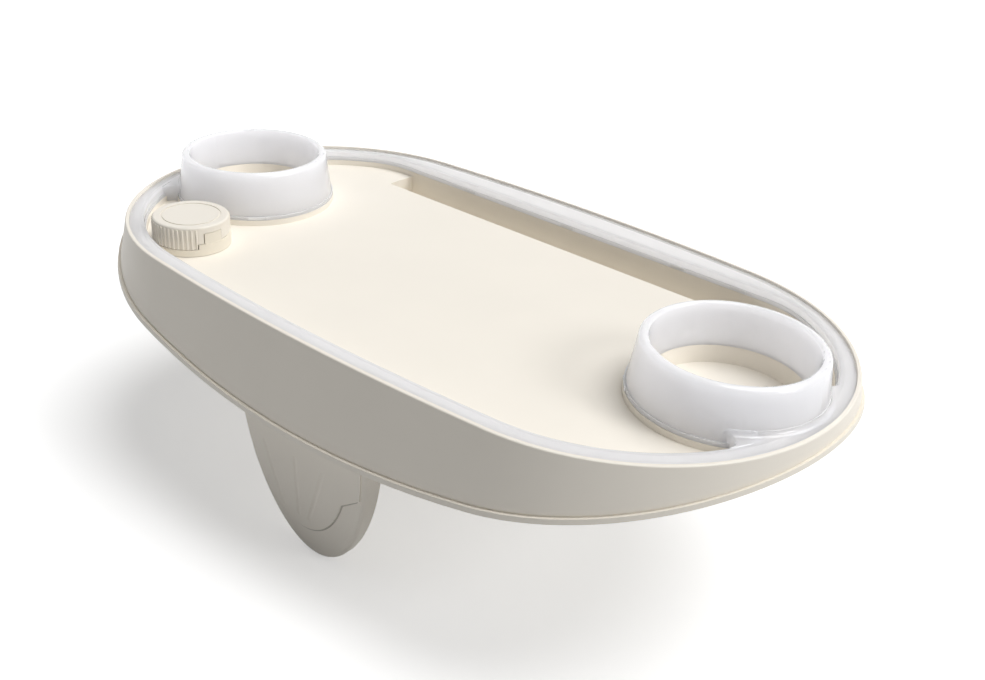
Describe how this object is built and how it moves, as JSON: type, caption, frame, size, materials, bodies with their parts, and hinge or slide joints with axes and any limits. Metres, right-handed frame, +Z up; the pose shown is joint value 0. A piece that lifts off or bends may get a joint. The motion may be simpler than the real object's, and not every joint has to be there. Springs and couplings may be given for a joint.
{
  "type": "hot tub tray",
  "caption": "Oval side tray that straddles a soft tub wall, with cup collars, a tablet slot, a screw-capped ballast tank and a hooking tongue below.",
  "frame": {"origin": "middle of the flat wall seat, the ceiling of the saddle channel under the tray", "axes": "+X along the tray to the right cup collar, +Y to the back where the tablet slot is, +Z up out of the tray's top"},
  "size_m": [0.5398, 0.3144, 0.1875],
  "materials": {
    "tray_plastic": "satin beige, blow moulded",
    "frosted_plastic": "frosted translucent white",
    "cap_plastic": "satin beige",
    "tether_plastic": "satin beige, flexible",
    "gasket_rubber": "matt"
  },
  "bodies": {
    "tray": {"tray_body": "tray_plastic", "rim_frame": "frosted_plastic"},
    "tether": {"cap_tether": "tether_plastic"},
    "cap": {"filler_cap": "cap_plastic", "cap_gasket": "gasket_rubber"}
  },
  "joints": [
    {"name": "cap_turn", "type": "hinge", "parent": "tray", "child": "tether", "pos_m": [-0.16503, -0.06816, 0.03], "axis": [0, 0, 1], "range_deg": [0, 540]},
    {"name": "cap_lift", "type": "slide", "parent": "tether", "child": "cap", "axis": [0, 0, 1], "range_m": [0, 0.0046]}
  ],
  "couplings": [
    {"joint": "cap_lift", "follows": "cap_turn", "m_per_rad": 0.00047746}
  ]
}
